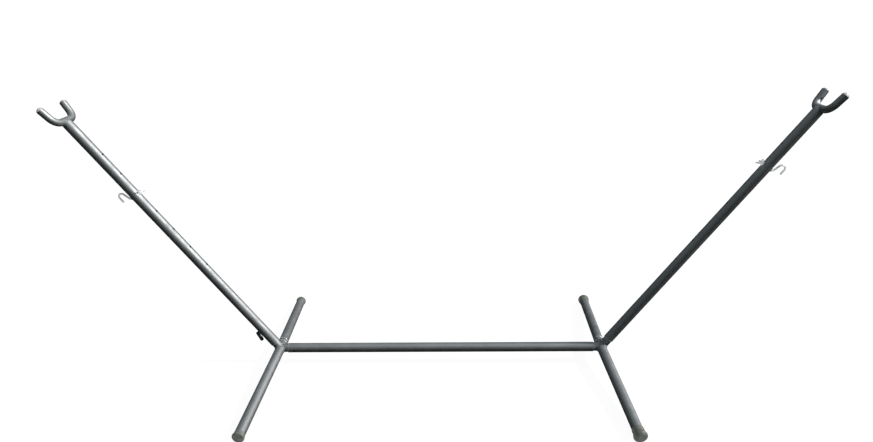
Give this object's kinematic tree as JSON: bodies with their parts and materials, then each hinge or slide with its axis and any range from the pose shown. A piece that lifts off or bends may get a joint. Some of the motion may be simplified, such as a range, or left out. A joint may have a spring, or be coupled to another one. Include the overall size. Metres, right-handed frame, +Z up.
{
  "type": "hammock stand",
  "caption": "Free-standing steel hammock stand: base beam on splayed feet, sloping lift-off arms with rope forks and movable hooks.",
  "frame": {"origin": "on the ground, midway between the two corners", "axes": "+X along the base beam to the right, +Y to the back of the stand, +Z up"},
  "size_m": [2.7448, 0.9766, 1.0789],
  "materials": {
    "tube_coating": "silver-grey metallic powder coat, satin",
    "zinc_plating": "bright zinc plate",
    "knob_plastic": "black moulded plastic",
    "foot_rubber": "grey-green moulded, weathered",
    "plug_plastic": "smooth grey"
  },
  "bodies": {
    "base_frame": {"base_beam": "tube_coating", "left_foot_tube_front": "tube_coating", "left_foot_tube_rear": "tube_coating", "left_foot_screw": "zinc_plating", "left_foot_rivet_nut": "zinc_plating", "left_foot_cap_front": "foot_rubber", "left_foot_cap_rear": "foot_rubber", "left_beam_stub": "tube_coating", "left_beam_screws": "zinc_plating", "left_beam_weld_nuts": "zinc_plating", "left_arm_stub": "tube_coating", "right_foot_tube_front": "tube_coating", "right_foot_tube_rear": "tube_coating", "right_foot_screw": "zinc_plating", "right_foot_rivet_nut": "zinc_plating", "right_foot_cap_front": "foot_rubber", "right_foot_cap_rear": "foot_rubber", "right_beam_stub": "tube_coating", "right_beam_screws": "zinc_plating", "right_beam_weld_nuts": "zinc_plating", "right_arm_stub": "tube_coating"},
    "left_arm": {"left_arm_tube": "tube_coating", "left_fork": "tube_coating", "left_fork_end_plugs": "plug_plastic", "left_hook_inner_washer": "zinc_plating", "left_lock_nut": "zinc_plating"},
    "left_washer": {"left_hook_outer_washer": "zinc_plating"},
    "left_hook_bar": {"left_hook": "zinc_plating", "left_hook_nut": "zinc_plating"},
    "left_wing": {"left_wing_nut": "zinc_plating"},
    "left_stud": {"left_lock_stud": "zinc_plating"},
    "left_knob": {"left_lock_knob": "knob_plastic"},
    "right_arm": {"right_arm_tube": "tube_coating", "right_fork": "tube_coating", "right_fork_end_plugs": "plug_plastic", "right_hook_inner_washer": "zinc_plating", "right_lock_nut": "zinc_plating"},
    "right_washer": {"right_hook_outer_washer": "zinc_plating"},
    "right_hook_bar": {"right_hook": "zinc_plating", "right_hook_nut": "zinc_plating"},
    "right_wing": {"right_wing_nut": "zinc_plating"},
    "right_stud": {"right_lock_stud": "zinc_plating"},
    "right_knob": {"right_lock_knob": "knob_plastic"}
  },
  "joints": [
    {"name": "left_arm_lift", "type": "slide", "parent": "base_frame", "child": "left_arm", "axis": [-0.5821, 0, 0.8131], "range_m": [0, 0.11]},
    {"name": "left_hook_back_out", "type": "slide", "parent": "left_arm", "child": "left_washer", "axis": [-0.8118, 0.0558, -0.5812], "range_m": [0, 0.0075]},
    {"name": "left_hook_swivel", "type": "hinge", "parent": "left_washer", "child": "left_hook_bar", "pos_m": [-1.11694, 0, 0.7242], "axis": [-0.8118, 0.0558, -0.5812], "continuous": true},
    {"name": "left_wing_nut_turn", "type": "hinge", "parent": "left_arm", "child": "left_wing", "pos_m": [-1.11694, 0, 0.7242], "axis": [0.8118, -0.0558, 0.5812], "range_deg": [0, 2160]},
    {"name": "left_stud_back_out", "type": "slide", "parent": "left_arm", "child": "left_stud", "axis": [-0.8118, 0.0558, -0.5812], "range_m": [0, 0.0075]},
    {"name": "left_knob_turn", "type": "hinge", "parent": "left_stud", "child": "left_knob", "pos_m": [-0.69839, 0, 0.13958], "axis": [-0.8118, 0.0558, -0.5812], "range_deg": [0, 2160]},
    {"name": "right_arm_lift", "type": "slide", "parent": "base_frame", "child": "right_arm", "axis": [0.5821, 0, 0.8131], "range_m": [-0.013, 0.097]},
    {"name": "right_hook_back_out", "type": "slide", "parent": "right_arm", "child": "right_washer", "axis": [0.8118, -0.0558, -0.5812], "range_m": [0, 0.0075]},
    {"name": "right_hook_swivel", "type": "hinge", "parent": "right_washer", "child": "right_hook_bar", "pos_m": [1.1769, 0, 0.80795], "axis": [0.8118, -0.0558, -0.5812], "continuous": true},
    {"name": "right_wing_nut_turn", "type": "hinge", "parent": "right_arm", "child": "right_wing", "pos_m": [1.1769, 0, 0.80795], "axis": [-0.8118, 0.0558, 0.5812], "range_deg": [0, 2160]},
    {"name": "right_stud_back_out", "type": "slide", "parent": "right_arm", "child": "right_stud", "axis": [0.4452, 0.8368, -0.3187], "range_m": [0, 0.0075]},
    {"name": "right_knob_turn", "type": "hinge", "parent": "right_stud", "child": "right_knob", "pos_m": [0.70596, 0, 0.15015], "axis": [0.4452, 0.8368, -0.3187], "range_deg": [0, 2160]}
  ],
  "couplings": [
    {"joint": "left_wing_nut_turn", "follows": "left_hook_back_out", "rad_per_m": 5026.5},
    {"joint": "left_knob_turn", "follows": "left_stud_back_out", "rad_per_m": 5026.5},
    {"joint": "right_wing_nut_turn", "follows": "right_hook_back_out", "rad_per_m": 5026.5},
    {"joint": "right_knob_turn", "follows": "right_stud_back_out", "rad_per_m": 5026.5}
  ]
}
